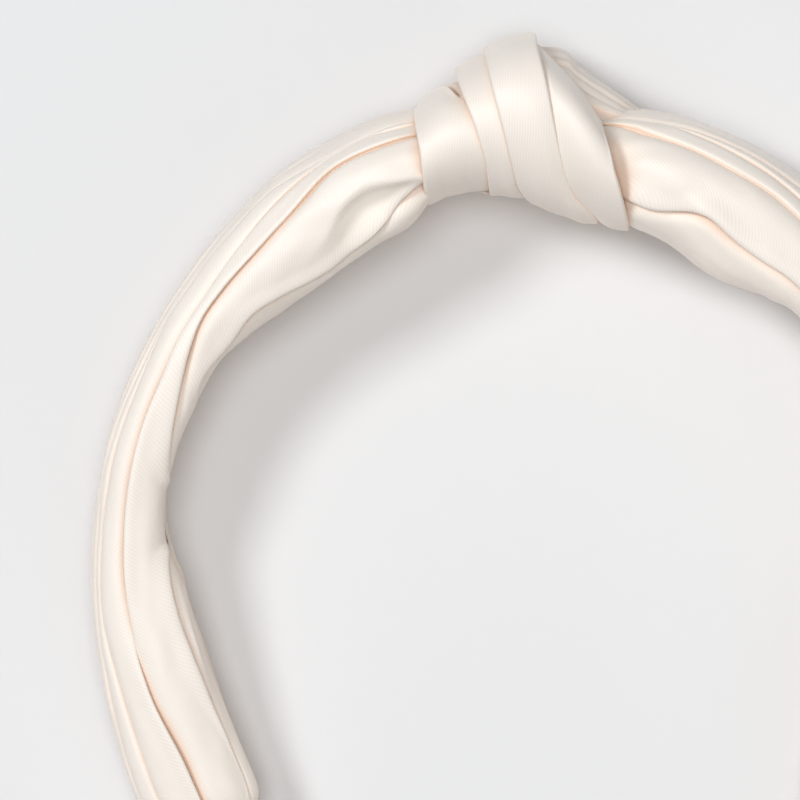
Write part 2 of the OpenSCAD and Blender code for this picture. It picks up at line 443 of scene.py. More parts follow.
LEFT = Arm(
    "left", -1,
    # thick beside the knot, slim at the side of the head, full above the tip
    out=[
        (6, 5.8), (14, 6.4), (17, 8.2), (22, 8.5), (30, 7.8), (40, 7.6), (48, 6.5), (60, 5.5),
        (72, 5.4), (100, 6.2), (112, 7.4), (126, 9.1), (142, 9.9), (147.5, 9.2), (150, 7.6),
        (152.5, 5.2), (166, 3.6),
    ],
    deep=[
        (6, 5), (16, 5), (18, 5.8), (21.5, 8.4), (25, 9.3), (40, 10), (46, 9.8), (53, 9),
        (67, 5.8), (80, 5.1), (95, 4.6), (101, 5.1), (111, 8.4), (120, 9.3), (148, 10.1),
        (150.5, 9.3), (152.8, 5.8), (166, 5),
    ],
    shoulder=[(6, 0), (60, 0), (78, 0.8), (98, 0.3), (115, -0.4), (145, -0.4), (152, 0), (166, 0)],
    creases=[
        Crease(
            "bottom", [(6, -4), (20, -6.5), (45, -7.5), (80, -5.2), (110, -7.5), (166, -4)],
            lip=1.5, fold=1.9, groove=0.2, width=1.1,
        ),
        Crease(
            "bottom", [(6, -1), (30, -1.5), (70, -3), (110, -2), (166, -1)],
            lip=-1.2, fold=1.6, groove=0.3, width=1.0,
        ),
        Crease(
            "bottom", [(6, 3.5), (30, 4.5), (70, 2), (110, 3), (166, 1.5)],
            lip=1.3, fold=1.8, groove=0.3, width=1.0,
        ),
        Crease(
            "outer", [(6, -0.6), (30, -0.72), (60, -0.5), (100, -0.66), (166, -0.5)],
            lip=0.5, fold=1.0, groove=0.4, width=1.2,
        ),
        Crease(
            "outer", [(6, -0.2), (30, -0.34), (70, -0.14), (110, -0.3), (166, -0.15)],
            lip=-1.1, fold=1.7, groove=0.3, width=1.1,
        ),
        Crease(
            "outer", [(6, 0.16), (30, 0.1), (70, 0.24), (110, 0.1), (166, 0.15)],
            lip=0.6, fold=1.1, groove=0.4, width=1.2,
        ),
        Crease(
            "outer", [(6, 0.5), (30, 0.56), (70, 0.5), (110, 0.52), (166, 0.5)],
            lip=0.4, fold=0.8, groove=0.35, width=1.2,
        ),
        # a faint line along the outer shoulder
        Crease(
            "top",
            [(6, 5), (16, 7.6), (28, 8), (40, 7), (55, 5.4), (75, 4.4), (95, 4.7), (115, 6.2),
             (145, 6), (166, 2.6)],
            lip=0.3, fold=0.6, groove=0.3, width=1.0,
        ),
        # the long line down the arm, whose raised side changes twice
        Crease(
            "top",
            [(6, 4), (18, 7), (26, 7.5), (33, 6.5), (48, 4), (58, 2.5), (65, 2.2), (73, 1.2),
             (100, 1.2), (115, 1.6), (128, 1.1), (138, -0.5), (150, -1), (166, -0.4)],
            lip=[(6, 0.4), (17, 0.6), (40, 0.3), (60, -0.9), (78, -2.2), (106, -2.2), (116, -0.5),
                 (124, 1.5), (135, 2.4), (166, 1.8)],
            fold=[(6, 0.8), (17, 1), (40, 0.9), (60, 1.4), (80, 2.2), (105, 2.2), (116, 1.2),
                  (124, 2), (166, 2.2)],
            groove=[(6, 0.3), (40, 0.3), (60, 0.5), (90, 0.45), (166, 0.3)],
            width=1.0,
        ),
        # the line that crosses the arm from the outer side to the head side
        Crease(
            "top",
            [(6, 3), (17, 5.3), (30, 5.3), (40, 2.2), (48, 0.9), (62, 0.3), (72, -2), (90, -4.5),
             (104, -5.3), (125, -7), (136, -8.5), (147, -9), (166, -4)],
            lip=[(6, 0.8), (17, 1), (45, 1.1), (60, 1.5), (78, 2.4), (125, 2.5), (145, 1.6),
                 (166, 0.9)],
            fold=[(6, 1.2), (45, 1.3), (60, 1.7), (78, 2.4), (125, 2.4), (166, 1.3)],
            groove=[(6, 0.3), (60, 0.3), (80, 0.6), (166, 0.5)],
            width=[(6, 0.8), (60, 0.8), (80, 1.2), (166, 1.1)],
        ),
        # the lip on the head side, from the collar to where it fades out
        Crease(
            "top",
            [(6, -2), (18, -2.7), (24, -6), (30, -7.7), (38, -8.6), (45, -8), (56, -5),
             (63, -5.5), (70, -4.5), (78, -5.6), (92, -5.5), (115, -8.2), (130, -9), (150, -9),
             (166, -5)],
            lip=[(6, 0.4), (17.5, 0.5), (22, 2.6), (45, 2.4), (60, 2.3), (75, 0.8), (90, 0.05),
                 (166, 0.05)],
            fold=[(6, 0.8), (17.5, 1), (22, 2.4), (60, 2.4), (75, 1.2), (90, 0.1), (166, 0.1)],
            groove=[(6, 0.4), (20, 0.8), (60, 0.6), (80, 0.1), (166, 0.03)],
            width=1.1,
        ),
    ],
    dents=[
        # the hollow beside the collar
        (
            [(6, -1), (21, -1), (26, 0.3), (29, 0.3), (33, -1), (38, -4.4), (166, -4)],
            [(6, 0), (15, 0.5), (19, 1.6), (22, 2.3), (29, 2.4), (32, 1.7), (35, 0.8), (39, 0),
             (166, 0)],
            5.8,
        ),
        # a shallow one where the arm fills out
        (
            [(6, 0), (86, -7), (100, -8), (166, -8)],
            [(6, 0), (100, 0), (112, 0.5), (125, 0.8), (140, 0.4), (166, 0)],
            4,
        ),
    ],
    seed=11,
)

RIGHT = Arm(
    "right", 1,
    out=[
        (6, 5.8), (11, 6.4), (13, 7.4), (24, 9), (34, 9.6), (42, 9.6), (52, 8.8), (65, 7.2),
        (85, 6), (100, 6.2), (125, 8.2), (138, 8.4), (147, 7.4), (152, 5.2), (166, 3.6),
    ],
    deep=[
        (6, 5.6), (14, 6.4), (17, 8.6), (20, 9.9), (28, 10.2), (36, 11.4), (41, 11), (46, 9.6),
        (54, 6.5), (60, 5.9), (93, 6), (103, 7.4), (116, 9), (126, 9.6), (138, 9.4), (147, 8.2),
        (152, 5.8), (166, 5),
    ],
    shoulder=[(6, 0), (14, -0.3), (22, -0.5), (50, -0.5), (80, -0.2), (110, 0.2), (150, 0.3), (166, 0)],
    creases=[
        Crease(
            "bottom", [(6, -4), (20, -7.5), (45, -8), (80, -6.2), (110, -7), (166, -4)],
            lip=1.5, fold=1.9, groove=0.2, width=1.1,
        ),
        Crease(
            "bottom", [(6, -1), (30, -2.5), (70, -1.5), (110, -3), (166, -1)],
            lip=1.2, fold=1.6, groove=0.3, width=1.0,
        ),
        Crease(
            "bottom", [(6, 3), (30, 4.5), (70, 3.4), (110, 2), (166, 1.5)],
            lip=-1.1, fold=1.7, groove=0.3, width=1.0,
        ),
        Crease(
            "outer", [(6, -0.5), (30, -0.66), (60, -0.52), (100, -0.6), (166, -0.5)],
            lip=1.2, fold=1.8, groove=0.3, width=1.1,
        ),
        Crease(
            "outer", [(6, -0.1), (30, -0.26), (70, -0.1), (110, -0.24), (166, -0.15)],
            lip=0.5, fold=1.0, groove=0.4, width=1.2,
        ),
        Crease(
            "outer", [(6, 0.2), (30, 0.14), (70, 0.22), (110, 0.1), (166, 0.15)],
            lip=-1.0, fold=1.7, groove=0.3, width=1.1,
        ),
        Crease(
            "outer", [(6, 0.5), (30, 0.5), (70, 0.56), (110, 0.5), (166, 0.5)],
            lip=0.5, fold=0.9, groove=0.35, width=1.2,
        ),
        # the roll along the outer shoulder
        Crease(
            "top",
            [(6, 5), (14, 7), (21, 7.8), (30, 8), (39, 7.7), (60, 5.6), (85, 4.4), (110, 4.8),
             (135, 5), (166, 2.6)],
            lip=0.5, fold=0.9, groove=0.25, width=0.9,
        ),
        # the long line down the middle of the arm
        Crease(
            "top",
            [(6, 4), (12, 5.8), (25, 5.9), (31, 5.3), (39, 5.3), (60, 3), (75, 1.6), (100, 1.2),
             (120, 1.4), (140, 0), (166, -0.4)],
            lip=[(6, 1), (12, 1), (20, 0.6), (45, 0.55), (80, 1.2), (166, 1.5)],
            fold=[(6, 1.6), (12, 1.4), (20, 0.8), (45, 0.8), (80, 1.6), (166, 2)],
            groove=0.25, width=0.9,
        ),
        # the wavy lip along the head side
        Crease(
            "top",
            [(6, -2.4), (17, -4.8), (22, -5.4), (25, -4.8), (31, -2.3), (36, -3.8), (42, -4.1),
             (49, -3.1), (60, -2.7), (75, -2.6), (90, -3.6), (110, -4.6), (130, -5.2), (166, -3)],
            lip=[(6, 2), (17, 3.6), (33, 4.2), (55, 3.8), (90, 1.8), (166, 1.2)],
            fold=[(6, 2.1), (17, 2.6), (55, 2.6), (90, 2.2), (166, 1.8)],
            groove=[(6, 0.5), (17, 0.9), (50, 0.8), (90, 0.4), (166, 0.2)],
            width=1.3,
        ),
        # a soft line on the head side, from about s = 55 on
        Crease(
            "top",
            [(6, -4.5), (20, -8.6), (40, -9.6), (60, -6.6), (80, -6.2), (100, -7.2), (125, -8.6),
             (166, -5)],
            lip=[(6, 0), (50, 0.05), (65, 0.4), (166, 0.4)],
            fold=[(6, 0), (50, 0.1), (65, 0.8), (166, 0.8)],
            groove=[(6, 0), (50, 0.05), (65, 0.25), (166, 0.25)],
            width=1.2,
        ),
    ],
    dents=[
        (
            [(6, -1), (24, -1.6), (28, -0.8), (33, -1.2), (40, -3), (166, -3)],
            [(6, 0), (22, 0), (27, 1.1), (31, 1.1), (37, 0), (166, 0)],
            3,
        ),
    ],
    seed=23,
)
ARMS = (LEFT, RIGHT)


# ---------------------------------------------------------------- sleeve
STATIONS = np.concatenate([np.linspace(1, 16, 14, endpoint=False), np.linspace(16, 163, 236)])
CREASE_GAP = 0.7  # the least distance between neighbouring creases
CREASE_SHADE_STRENGTH = 0.42  # how strong the painted warm shade in the deepest crease gets


def crease_lines(creases, s, ring, run):
    """Each crease's signed length round the sections, from the outer face."""
    lines = []
    for crease in creases:
        course = at_stations(crease.course, s)
        row = np.array(
            [round_at(crease.where, course[i], ring[i], run[i]) for i in range(len(s))]
        )
        # the upper side of a fold hangs over its line, so the line starts behind it
        if crease.where == "top":
            over = at_stations(crease.fold, s) * at_stations(crease.width, s)
            row = row - 0.2 * over * np.tanh(at_stations(crease.lip, s) * 2)
        lines.append(row)
    lines = np.stack(lines, 1)
    for k in range(1, lines.shape[1]):
        lines[:, k] = np.maximum(lines[:, k], lines[:, k - 1] + CREASE_GAP)
    return smooth(lines, 3)


def panel_points(edges, gaps):
    """Points across each panel, closer together beside the creases: their length
    round the section, their share of the panel and the panel's number."""
    q, v, panel = [], [], []
    for k, count in enumerate(PANEL_POINTS):
        f = np.arange(count) / count
        w = f - 0.72 * np.sin(2 * math.pi * f) / (2 * math.pi)
        q.append(edges[:, k : k + 1] + gaps[:, k : k + 1] * w)
        v.append(np.broadcast_to(w, (len(edges), count)))
        panel.append(np.full(count, k))
    return np.concatenate(q, 1), np.concatenate(v, 1), np.concatenate(panel)


def swell(creases, s, gaps, v, panel):
    """A panel swells between its creases, and runs on level where one fades out."""
    bulge = np.minimum(gaps * 0.085, 1.0)
    bulge[:, 0] *= 0.15
    bulge[:, -1] *= 0.15
    depth = [
        np.clip(
            abs(at_stations(c.lip, s)) + at_stations(c.fold, s) / 2 + at_stations(c.groove, s), 0, 1
        )
        for c in creases
    ]
    level = (1 - np.stack(depth, 1)) * (bulge[:, :-1] + bulge[:, 1:]) / 2
    level = np.pad(level, ((0, 0), (1, 1)))
    side_level = np.where(v < 0.5, level[:, panel], level[:, panel + 1])
    return side_level + (bulge[:, panel] - side_level) * (1 - np.abs(2 * v - 1) ** 2.2)


def ripples(s, q, seed):
    """Soft and fine unevenness, and a pucker where the knot gathers the cloth."""
    s = s[:, None]
    soft = 0.14 * waves(s, q, seed, 7, (18, 60), (9, 30))
    fine = 0.05 * waves(s, q, seed + 1, 7, (8, 22), (3, 8))
    near_knot = np.exp(-np.abs(s - 17) / 7)
    pucker = 0.16 * near_knot * waves(s * 0.3, q, seed + 2, 6, (30, 60), (2.5, 6))
    return soft + fine + pucker


def sleeve(name, arm):
    """The pleated cover of one arm, from inside the knot to the tip."""
    s = STATIONS
    out, deep, hw = (curve(table, s, 3) for table in (arm.out, arm.deep, HALF_WIDTH))
    base = section_line(out, deep, hw, curve(arm.shoulder, s, 3))
    ring = np.concatenate([base, base[:, :1]], 1)
    run = lengths(base)
    girth = run[:, -1]
    lines = crease_lines(arm.creases, s, ring, run)
    edges = np.concatenate([-girth[:, None] / 2, lines, girth[:, None] / 2], 1)
    gaps = np.diff(edges, axis=1)
    q, v, panel = panel_points(edges, gaps)
    height = swell(arm.creases, s, gaps, v, panel)
    shift, painted_crease_shade = np.zeros_like(q), np.zeros_like(q)
    for k, crease in enumerate(arm.creases):
        wanted = at_stations(crease.width, s)
        width = np.minimum(wanted, 0.42 * np.minimum(gaps[:, k], gaps[:, k + 1]))
        size = width / np.maximum(wanted, 1e-6)
        lip, fold_over, groove = (
            at_stations(value, s) * size for value in (crease.lip, crease.fold, crease.groove)
        )
        tau = (q - lines[:, k : k + 1]) / width[:, None]
        bell = np.exp(-(tau**2))
        shift -= (fold_over * width)[:, None] * tau * bell
        height -= lip[:, None] * tau * bell + groove[:, None] * np.exp(-(tau**2) / 0.8)
        # painted shade along each crease, stronger where it is deeper, half as strong on the outer face
        crease_shade_share = 0.5 if crease.where == "outer" else 1.0
        depth = np.clip(np.abs(lip) * 0.45 + groove * 0.55, 0, 1)
        painted_crease_shade += crease_shade_share * np.exp(-((tau * 3.2) ** 2)) * depth[:, None]
    height += ripples(s, q, arm.seed)
    for course, deep_by, reach in arm.dents:
        # a hollow whose upper edge is a soft ridge and which fades out below it
        course, deep_by = at_stations(course, s), at_stations(deep_by, s)
        start = np.array([round_at("top", course[i], ring[i], run[i]) for i in range(len(s))])
        below = np.maximum(q - start[:, None], 0)
        step_down = 0.5 * (1 - np.exp(-((below / 0.7) ** 2))) + 0.2 * below
        height -= deep_by[:, None] * step_down * np.exp(-((below / reach) ** 4))
    # near the two ends the pleats are drawn together
    calm = np.clip((s - 6) / 8, 0, 1) * np.clip((153.5 - s) / 5, 0.12, 1)
    height *= calm[:, None]
    step = np.diff(ring, axis=1)
    step = np.concatenate([step[:, -1:], step], 1)
    step = (step + np.concatenate([step[:, 1:], step[:, :1]], 1)) / 2
    points = np.zeros(q.shape + (2,))
    away = np.zeros_like(points)
    for i in range(len(s)):
        want = np.mod(q[i] + shift[i], girth[i])
        normal = (step[i, :, 1], -step[i, :, 0])
        for d in (0, 1):
            points[i, :, d] = np.interp(want, run[i], ring[i, :, d])
            away[i, :, d] = np.interp(want, run[i], normal[d])
    away /= np.maximum(np.linalg.norm(away, axis=2, keepdims=True), 1e-9)
    points += away * height[:, :, None]
    grid = place(arm.side * s[:, None], points[:, :, 0], points[:, :, 1])
    flat = np.concatenate([q, girth[:, None] / 2], 1) / 1000
    uv = np.stack([flat, np.repeat(s[:, None] / 1000, flat.shape[1], 1)], -1)
    return skin(name, grid, uv, crease=painted_crease_shade * CREASE_SHADE_STRENGTH)


for arm in ARMS:
    cover = sleeve(f"pleated_cover_{arm.tag}", arm)
    nodes = ("cover_left", "cover_crown") if arm.tag == "left" else ("cover_right",)
    finish_piece(cover, SATIN, nodes, blend=arm.flex)


# ---------------------------------------------------------------- core and foam
def strip(name, side, inner, outer, half_width, end, rounding):
    """A flat strip that follows the band from the crown, with rounded edges."""
    s = np.linspace(0, end, 130)
    hw = curve(half_width, s)
    to_end = np.clip((end - s) / hw[-1], 0, 1)
    tip = np.sqrt(np.clip(1 - (1 - to_end) ** 2, 0.05, 1))
    turn = np.linspace(0, 2 * math.pi, 48, endpoint=False)
    c, d = np.cos(turn), np.sin(turn)
    flat_c, flat_d = np.sign(c) * np.abs(c) ** rounding, np.sign(d) * np.abs(d) ** rounding
    mid, half = (inner + outer) / 2, (outer - inner) / 2
    grid = place(side * s[:, None], mid + half * flat_c, (hw * tip)[:, None] * flat_d)
    return skin(name, grid, tube_uv(grid, s))


CORE_HALF_WIDTH = [(0, 11), (20, 11), (160, 5)]
FOAM_HALF_WIDTH = [(0, 10.6), (20, 10.6), (160, 4.6)]

for arm in ARMS:
    core = strip(f"sprung_core_{arm.tag}", arm.side, -3.9, -2.1, CORE_HALF_WIDTH, 160, 0.2)
    nodes = (f"core_{arm.tag}", "core_crown")
    finish_piece(core, PLASTIC, nodes, blend=arm.flex)
    foam = strip(f"foam_strip_{arm.tag}", arm.side, -2.0, 0.9, FOAM_HALF_WIDTH, 158, 0.35)
    nodes = (f"padding_{arm.tag}", "padding_crown")
    finish_piece(foam, FOAM, nodes, blend=arm.flex)


# ---------------------------------------------------------------- lining and tips
LINING_R = -5.92  # the lining's face towards the head
LINING_END = 156
LINING_HALF_WIDTH = [(0, 6.4), (20, 6.4), (156, 3.2)]
STITCH_PITCH = 2.6
TIP_FROM, TIP_TO = 153.2, 164  # where the cover's outline still serves the wrap


def lining_ribbon(name, arm):
    """The ribbon on the head side, with a line of stitches near each edge. It
    lies closer to the core where the cover is thin and under the knot."""
    s = np.linspace(0, LINING_END, 300)
    hw = curve(LINING_HALF_WIDTH, s)
    across = np.concatenate([np.linspace(-1, 1, 25), np.linspace(1, -1, 25)])
    upper = np.concatenate([np.zeros(25), np.ones(25)])
    edge = 1 - np.abs(across) ** 6
    thin = np.maximum(5.4 - curve(arm.deep, np.maximum(s, 60), 3), 0)
    rise = 1.4 * thin[:, None] + 0.6 * np.clip((20 - s[:, None]) / 3, 0, 1)
    face = LINING_R + rise + 0.14 * np.abs(across) ** 3 + 0.42 * upper * edge
    stitch = 0.07 * np.exp(-(((np.abs(across) - 0.82) / 0.05) ** 2)) * (1 - upper)
    r = face + stitch * (np.sin(s * 2 * math.pi / STITCH_PITCH) > -0.5)[:, None]
    grid = place(arm.side * s[:, None], r, hw[:, None] * across)
    return skin(name, grid, tube_uv(grid, s))


def tip_ribbon(name, arm):
    """A short ribbon folded over the tip and closed round it."""
    # place along the arm, thickness of the ribbon, share of the section's size
    rows = [(152.6, 0.2, 1), (152.0, 0.25, 1), (151.7, 0.5, 1), (151.75, 0.85, 1), (152.2, 1.0, 1)]
    rows += [(152.8 + 0.55 * k, 1.0, 1) for k in range(20)]
    rows += [
        (163.3 + 2.2 * math.sin(a), 1.0, math.cos(a) ** 0.5) for a in np.linspace(0.12, 1.45, 12)
    ]
    rows += [(165.5, 1.0, close) for close in (0.25, 0.15, 0.06)]
    at_s, wall, close = (np.array(column) for column in zip(*rows))
    inside = np.clip(at_s, TIP_FROM, TIP_TO)
    out, deep, hw = (curve(table, inside, 3) for table in (arm.out, arm.deep, HALF_WIDTH))
    ring = section_line(out, deep, hw, 0 * hw)[:, ::4]
    step = np.roll(ring, -1, 1) - np.roll(ring, 1, 1)
    away = np.stack([step[..., 1], -step[..., 0]], -1)
    away /= np.linalg.norm(away, axis=2, keepdims=True)
    # the ribbon's lapped end shows as a low step along the outer face
    turn = np.arange(ring.shape[1])
    lap = 0.3 / (1 + np.exp(-(turn - 9) * 1.6)) / (1 + np.exp((turn - 60) * 0.12))
    lap_share = np.where(close > 0.95, 1, 0.6) * np.where(wall > 0.9, 1, 0)
    grow = wall[:, None] + lap_share[:, None] * lap
    ring = (ring + away * grow[..., None]) * close[:, None, None]
    grid = place(arm.side * at_s[:, None], ring[..., 0], ring[..., 1])
    return skin(name, grid, tube_uv(grid, at_s))


for arm in ARMS:
    lining = lining_ribbon(f"lining_ribbon_{arm.tag}", arm)
    nodes = (f"lining_{arm.tag}", "lining_crown")
    finish_piece(lining, RIBBON, nodes, blend=arm.flex)
    wrap = tip_ribbon(f"tip_ribbon_{arm.tag}", arm)
    nodes = (f"tip_wrap_{arm.tag}",)
    finish_piece(wrap, RIBBON, nodes, body=f"{arm.tag}_arm")


# ---------------------------------------------------------------- knot
FOLD_STEPS = 300  # rings along a fold's loop
FOLD_POINTS = 72  # points across a fold
EDGE_SHADE = 0.65  # how strong the painted warm shade on a fold's turned-under edge gets
LIP = 0.5  # radius of a fold's rolled edge


def oval(t, out, deep, hw, power, skew=0.3):
    """Points (r, z) at angle t round the band: 0 outside, 90 degrees on top.
    The highest point lies outwards of the middle."""
    c, d = np.cos(t), np.sin(t)
    half = (out + deep) / 2
    r = (out - deep) / 2 + half * (np.sign(c) * np.abs(c) ** power + skew * d**2)
    return np.stack([r, hw * np.sign(d) * np.abs(d) ** power], -1)


def wrapped(angle):
    """The angle brought to between minus and plus half a turn."""
    return (angle + math.pi) % (2 * math.pi) - math.pi


def fold(name, node, left, right, out, deep, hw, dome, seed, power=0.92, right_lip=LIP, tuck=None, skew=0.3):
    """One fold of the knot: a closed slanted loop of cloth, its edges turned under.
    left and right give the edges' arc length by the distance outwards."""
    n, m = FOLD_STEPS, FOLD_POINTS
    t = np.linspace(math.pi, 3 * math.pi, n, endpoint=False)
    # even steps round the loop
    mid = oval(t, out[0][1], deep[0][1], hw, power, skew)
    step = np.linalg.norm(np.diff(mid, axis=0, append=mid[:1]), axis=1)
    run = np.concatenate([[0], np.cumsum(step)])
    t = np.interp(np.linspace(0, run[-1], n, endpoint=False), run, np.append(t, 3 * math.pi))
    across = np.linspace(0, 1, m)
    outwards, inwards = (np.interp(across, *zip(*table)) for table in (out, deep))
    outer = np.stack([oval(t, outwards[k], inwards[k], hw, power, skew) for k in range(m)], 1)
    outer = smooth_ring(outer, 5)
    a = smooth_ring(np.interp(outer[:, 0, 0], *zip(*left)), 7)
    b = smooth_ring(np.interp(outer[:, -1, 0], *zip(*right)), 7)
    along = np.roll(outer, -1, 0) - np.roll(outer, 1, 0)
    normal = np.stack([along[..., 1], -along[..., 0]], -1)
    normal /= np.linalg.norm(normal, axis=2, keepdims=True)
    if (normal * outer).sum() < 0:
        normal = -normal
    # the cloth's crown, with seeded unevenness
    v = (np.arange(n) / n * 2 * math.pi)[:, None]
    r = np.random.default_rng(seed)
    lift = dome * (1 - (2 * across - 1) ** 2) * np.ones((n, 1))
    for _ in range(4):
        k, phase = r.uniform(0.6, 1.3), r.uniform(0, 6.28)
        lift = lift + 0.05 * np.sin(2 * math.pi * k * across + 1.3 * np.sin(v + phase) + phase)
    lift = lift + 0.09 * np.sin(3 * v + r.uniform(0, 6)) * np.sin(math.pi * across)
    painted_crease_shade = np.zeros((n, m))
    if tuck:
        # a short pinch in the cloth, from one point of the fold to another
        (t0, x0), (t1, x1), depth = tuck
        u = np.clip(wrapped(t - t0) / wrapped(t1 - t0), -0.5, 1.5)[:, None]
        off = (across - (x0 + (x1 - x0) * u)) * (b - a)[:, None]
        fade = np.exp(-((u - 0.4) / 0.55) ** 4)
        lift = lift - depth * fade * np.exp(-((off / 0.28) ** 2))
        lift = lift + 0.35 * depth * fade * np.exp(-(((off + 0.7) / 0.5) ** 2))
        # painted shade along the pinch's line
        painted_crease_shade += 0.8 * fade * np.exp(-((off / 0.35) ** 2))
    surface = outer + normal * (lift - dome)[..., None]
    seat_ring = oval(t, 6.9, 6.05, 14.3, 0.7)

    def rolled_edge(edge, sign, k, radius):
        """Half circles from the surface to the underside, then in to the band."""
        xs, points = [], []
        for g in np.linspace(0, math.pi, 9)[1:]:
            xs.append(edge + sign * radius * (1 - math.sin(g)))
            points.append(surface[:, k] - normal[:, k] * radius * (1 - math.cos(g)))
        xs += [edge + sign * radius * 2.6, edge + sign * radius * 2.8]
        points += [surface[:, k] - normal[:, k] * radius * 2.1, seat_ring]
        return xs, points

    x_top = (a + LIP)[:, None] + ((b - right_lip) - (a + LIP))[:, None] * across
    left_x, left_points = rolled_edge(a, 1, 0, LIP)
    right_x, right_points = rolled_edge(b, -1, m - 1, right_lip)
    xs = np.concatenate([x_top, np.stack(right_x, 1), np.stack(left_x[::-1], 1)], 1)
    points = [surface, np.stack(right_points, 1), np.stack(left_points[::-1], 1)]
    points = np.concatenate(points, 1)
    # painted warm shade on the turned-under edges, strongest at the underside
    edge_shade = EDGE_SHADE * np.linspace(0, 1, len(right_x)) * np.ones((n, 1))
    fold_painted_shade = np.concatenate([painted_crease_shade, edge_shade, edge_shade[:, ::-1]], 1)
    grid = place(xs, points[..., 0], points[..., 1])
    u = lengths(grid)
    v_run = np.append(run[-1] / n * np.arange(n), run[-1]) / 1000
    uv = np.stack([np.concatenate([u, u[:1]], 0), np.repeat(v_run[:, None], u.shape[1], 1)], -1)
    piece = skin(name, grid, uv, loop=True, crease=fold_painted_shade)
    finish_piece(piece, KNOT_SATIN, (node,), body="crown")


def shifted(edge, by):
    return [(r, s + by) for r, s in edge]


# The folds' edges from left to right, as (outwards, along the band). All but the
# first run to the right on their way in to the head side.
COLLAR_LEFT = [(-7, -18.8), (3, -17.3), (10, -16.9)]
LEFT_FOLD_LEFT = [(-8, -7.2), (-1, -7.4), (6, -8.5), (14, -10)]
FRONT_LEFT = [(-10.5, 1.5), (-8.5, -0.8), (-6, -2.3), (-1, -3.4), (9.5, -5.1), (17.5, -5.9)]
FRONT_RIGHT = [(-12, 14.2), (-10.5, 13.3), (-7.5, 8.6), (-4, 6.2), (1, 4.6), (6, 3.4), (18, 1)]
RIGHT_FOLD_RIGHT = [(-12, 20.2), (-6, 16.4), (-1.5, 14), (7.5, 10.6)]
OVERLAP = 2.2  # how far a fold goes on below its right neighbour
RIGHT_START = -2.6  # how far the right fold starts below the front fold

fold(
    "knot_collar", "knot_collar_fold", COLLAR_LEFT, shifted(LEFT_FOLD_LEFT, OVERLAP),
    out=[(0, 9.2), (0.5, 11.2), (1, 12.2)],
    deep=[(0, 7.7), (0.25, 6.8), (0.6, 6.5), (1, 7.2)],
    hw=19.4, dome=0.5, seed=5, skew=0.2,
    tuck=((math.radians(4), 0.62), (math.radians(42), 0.76), 1.2),
)
fold(
    "knot_left_fold_cloth", "knot_left_fold", LEFT_FOLD_LEFT, shifted(FRONT_LEFT, OVERLAP),
    out=[(0, 14.2), (1, 16.4)],
    deep=[(0, 8.0), (1, 8.4)],
    hw=20.6, dome=0.3, seed=6, skew=0.22,
)
fold(
    "knot_front_fold_cloth", "knot_front_fold", FRONT_LEFT, FRONT_RIGHT,
    out=[(0, 17.0), (1, 19.2)],
    deep=[(0, 9.9), (0.25, 10.8), (0.55, 11.2), (0.8, 11.9), (1, 11.8)],
    hw=22.2, dome=0.35, seed=7, right_lip=0.55,
)
fold(
    "knot_right_fold_cloth", "knot_right_fold", shifted(FRONT_RIGHT, RIGHT_START), RIGHT_FOLD_RIGHT,
    out=[(0, 17.6), (0.25, 16.5), (1, 7.4)],
    deep=[(0, 10.6), (0.3, 10.9), (1, 12.0)],
    hw=21.5, dome=0.7, seed=8, power=0.85,
)


# ---------------------------------------------------------------- strand
# The gathered pleats of the strand: angle round it, drift, depth, side and spread
STRAND_PLEATS = (
    (-1.3, 0.06, 0.8, 1, 0.12),
    (-0.6, 0.08, 1.0, -1, 0.12),
    (0.05, 0.06, 0.45, 1, 0.1),
    (0.38, 0.06, 0.55, 1, 0.09),
    (0.68, 0.07, 0.7, 1, 0.08),
    (0.98, 0.05, 0.5, -1, 0.08),
    (1.3, 0.05, 0.6, 1, 0.1),
)
STRAND_CREST = [
    (-1.5, 15.6), (2, 16.4), (4, 16.4), (5.5, 15.6), (6.5, 14), (9, 12.2), (16, 8.6), (20, 7.2),
]


def strand_cloth(name):
    """The strand that runs down behind the right fold, in lengthwise pleats."""
    s = np.linspace(-1.5, 20, 140)
    crest = curve(STRAND_CREST, s, 0.8)
    foot = curve([(-1.5, 8), (7, 6), (11.8, 4.5), (18.8, 4.0)], s, 1)
    mid_z = -1 - s / 5
    half = curve([(-1.5, 7), (4, 9), (9, 11), (13, 11.5), (18.8, 9)], s, 1)
    t = np.linspace(-math.pi, math.pi, 260, endpoint=False)
    ridge = np.zeros((len(s), len(t)))
    painted_crease_shade = np.zeros_like(ridge)
    for centre, drift, depth, side_on, spread in STRAND_PLEATS:
        line = centre + drift * np.sin(s / 2.6 + centre * 3) - 0.022 * (s - 8)
        tau = (t[None, :] - line[:, None]) / spread
        ridge -= 0.6 * depth * np.exp(-(tau**2))
        ridge -= side_on * 0.35 * depth * tau * np.exp(-(tau**2) / 2.5)
        # painted shade in each pleat's fold
        painted_crease_shade += 0.25 * depth * np.exp(-((tau * 2.2) ** 2))
    fade = np.clip((s + 1.5) / 4, 0, 1)[:, None]
    ridge = ridge * fade
    c, d = np.cos(t)[None, :], np.sin(t)[None, :]
    outer_half = (crest - foot)[:, None] * np.abs(c) ** 0.85
    rise = np.where(c > 0, outer_half, -2.0 * np.abs(c) ** 0.8)
    r = foot[:, None] + rise + ridge * np.clip(c, 0, 1)
    z = mid_z[:, None] + half[:, None] * np.sign(d) * np.abs(d) ** 0.85 + ridge * d
    grid = place(s[:, None], r, z)
    return skin(name, grid, tube_uv(grid, s), crease=painted_crease_shade * fade)


strand = strand_cloth("knot_strand_cloth")
finish_piece(strand, KNOT_SATIN, ("knot_back_strand",), body="crown")


